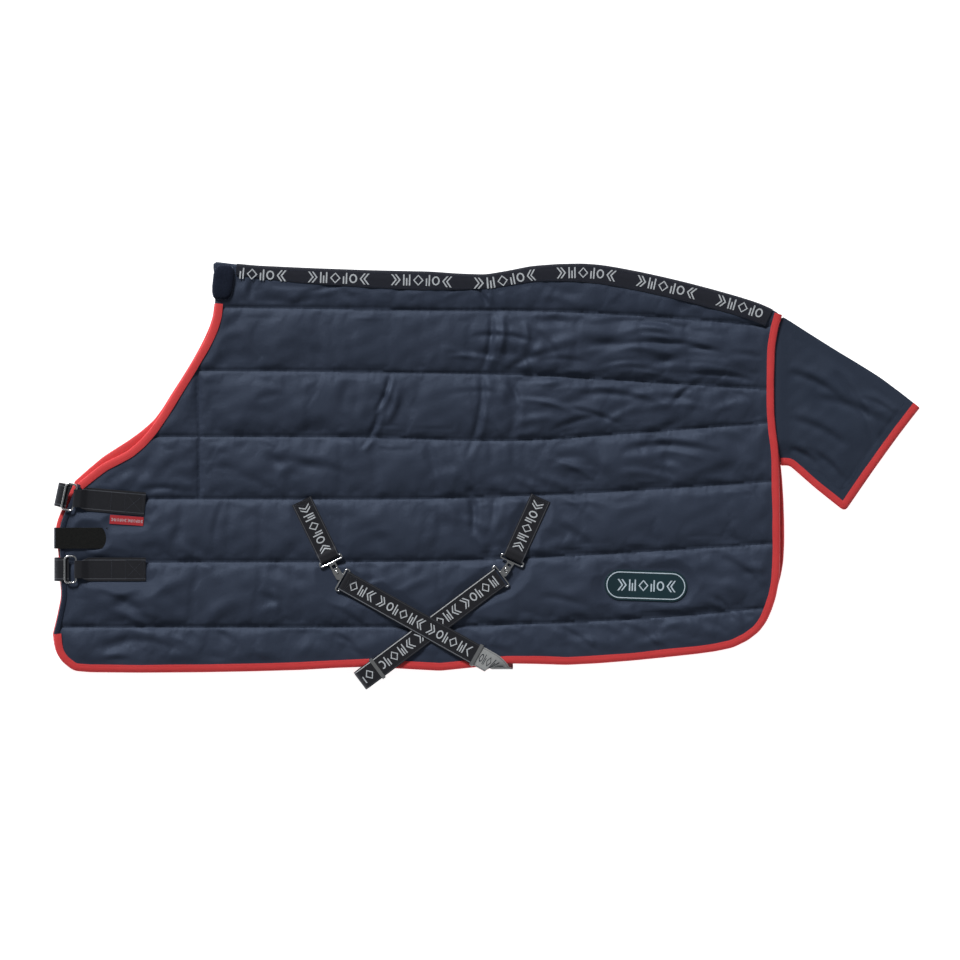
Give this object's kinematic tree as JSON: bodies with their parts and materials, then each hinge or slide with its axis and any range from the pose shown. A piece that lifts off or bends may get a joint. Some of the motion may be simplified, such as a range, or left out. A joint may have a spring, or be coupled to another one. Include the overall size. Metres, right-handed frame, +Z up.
{
  "type": "quilted horse rug",
  "caption": "Quilted horse rug folded flat along its spine, with chest straps, crossed surcingles, bound edges and a tail flap.",
  "frame": {"origin": "on the floor, under the middle of the rug's bounding box", "axes": "+X from the chest to the tail, +Y from the hem to the spine, +Z up out of the near side"},
  "size_m": [2.057, 1.0018, 0.0402],
  "materials": {
    "shell": "satin polyester, fine weave",
    "lining": "smooth nylon",
    "wadding": "polyester fibre fill",
    "binding": "woven tape",
    "webbing": "ribbed webbing",
    "fleece": "deep pile",
    "badge": "embroidered patch",
    "label": "woven label",
    "chrome": "polished"
  },
  "bodies": {
    "far_side": {"far_binding": "binding", "far_front_edge": "binding", "far_lining": "lining", "far_neck_binding": "binding", "far_outer": "shell", "far_spine_tape": "binding", "far_wadding": "wadding", "far_wither_fleece": "fleece", "front_strap_far_run": "webbing", "lower_billet_far_run": "webbing", "rear_strap_far_run": "webbing", "tab_far_run": "webbing", "upper_billet_far_run": "webbing"},
    "near_side": {"badge": "badge", "front_long_strap": "webbing", "front_surcingle": "webbing", "label_tag": "label", "lower_billet": "webbing", "lower_chest_strap": "webbing", "near_binding": "binding", "near_front_edge": "shell", "near_lining": "lining", "near_neck_binding": "binding", "near_outer": "shell", "near_spine_tape": "binding", "near_wadding": "wadding", "near_wither_fleece": "fleece", "rear_long_strap": "webbing", "rear_surcingle": "webbing", "tab_fold": "webbing", "tab_loop_patch": "webbing", "upper_billet": "webbing", "upper_chest_strap": "webbing"},
    "tail_flap": {"far_flap_binding": "binding", "far_tail_flap": "shell", "near_flap_binding": "binding", "near_tail_flap": "shell"},
    "upper_buckle": {"upper_buckle": "chrome"},
    "lower_buckle": {"lower_buckle": "chrome"},
    "chest_tab": {"chest_tab": "webbing"},
    "front_hook": {"front_hook": "chrome"},
    "rear_hook": {"rear_hook": "chrome"},
    "front_slot_plate": {"front_slot_plate": "chrome"},
    "rear_slot_plate": {"rear_slot_plate": "chrome"},
    "front_adjuster": {"front_adjuster": "chrome"},
    "rear_adjuster": {"rear_adjuster": "chrome"}
  },
  "joints": [
    {"name": "spine_fold", "type": "hinge", "parent": "far_side", "child": "near_side", "pos_m": [-0.00206, 0.50494, 0.01525], "axis": [-1, 0, 0], "range_deg": [0, 12]},
    {"name": "tail_flap_fold", "type": "hinge", "parent": "far_side", "child": "tail_flap", "pos_m": [0.70094, 0.01994, 0.0307], "axis": [0.0142, 0.9999, 0], "range_deg": [-160, 0]},
    {"name": "upper_buckle_tilt", "type": "hinge", "parent": "near_side", "child": "upper_buckle", "pos_m": [-0.97305, -0.06082, 0.0349], "axis": [0.2079, 0.9781, 0], "range_deg": [0, 15]},
    {"name": "lower_buckle_tilt", "type": "hinge", "parent": "near_side", "child": "lower_buckle", "pos_m": [-0.97026, -0.22956, 0.0349], "axis": [0, 1, 0], "range_deg": [0, 15]},
    {"name": "chest_tab_peel", "type": "hinge", "parent": "near_side", "child": "chest_tab", "pos_m": [-1.01856, -0.15556, 0.0326], "axis": [0, -1, 0], "range_deg": [0, 120]},
    {"name": "front_hook_tilt", "type": "hinge", "parent": "near_side", "child": "front_hook", "pos_m": [-0.36956, -0.20456, 0.0328], "axis": [-0.8977, -0.4407, 0], "range_deg": [0, 8]},
    {"name": "front_plate_tilt", "type": "hinge", "parent": "near_side", "child": "front_slot_plate", "pos_m": [-0.33506, -0.25706, 0.0328], "axis": [0.488, 0.8728, 0], "range_deg": [0, 10.5]},
    {"name": "rear_hook_tilt", "type": "hinge", "parent": "near_side", "child": "rear_hook", "pos_m": [0.06444, -0.20356, 0.0328], "axis": [-0.9097, 0.4152, 0], "range_deg": [0, 8]},
    {"name": "rear_plate_tilt", "type": "hinge", "parent": "near_side", "child": "rear_slot_plate", "pos_m": [0.03094, -0.24906, 0.0328], "axis": [0.5982, -0.8013, 0], "range_deg": [0, 9.6]},
    {"name": "front_adjuster_slide", "type": "slide", "parent": "near_side", "child": "front_adjuster", "axis": [-0.8728, 0.488, 0], "range_m": [0, 0.07]},
    {"name": "rear_adjuster_slide", "type": "slide", "parent": "near_side", "child": "rear_adjuster", "axis": [0.8013, 0.5982, 0], "range_m": [0, 0.07]}
  ],
  "couplings": [
    {"joint": "front_plate_tilt", "follows": "front_hook_tilt", "ratio": 1.309},
    {"joint": "rear_plate_tilt", "follows": "rear_hook_tilt", "ratio": 1.194}
  ]
}
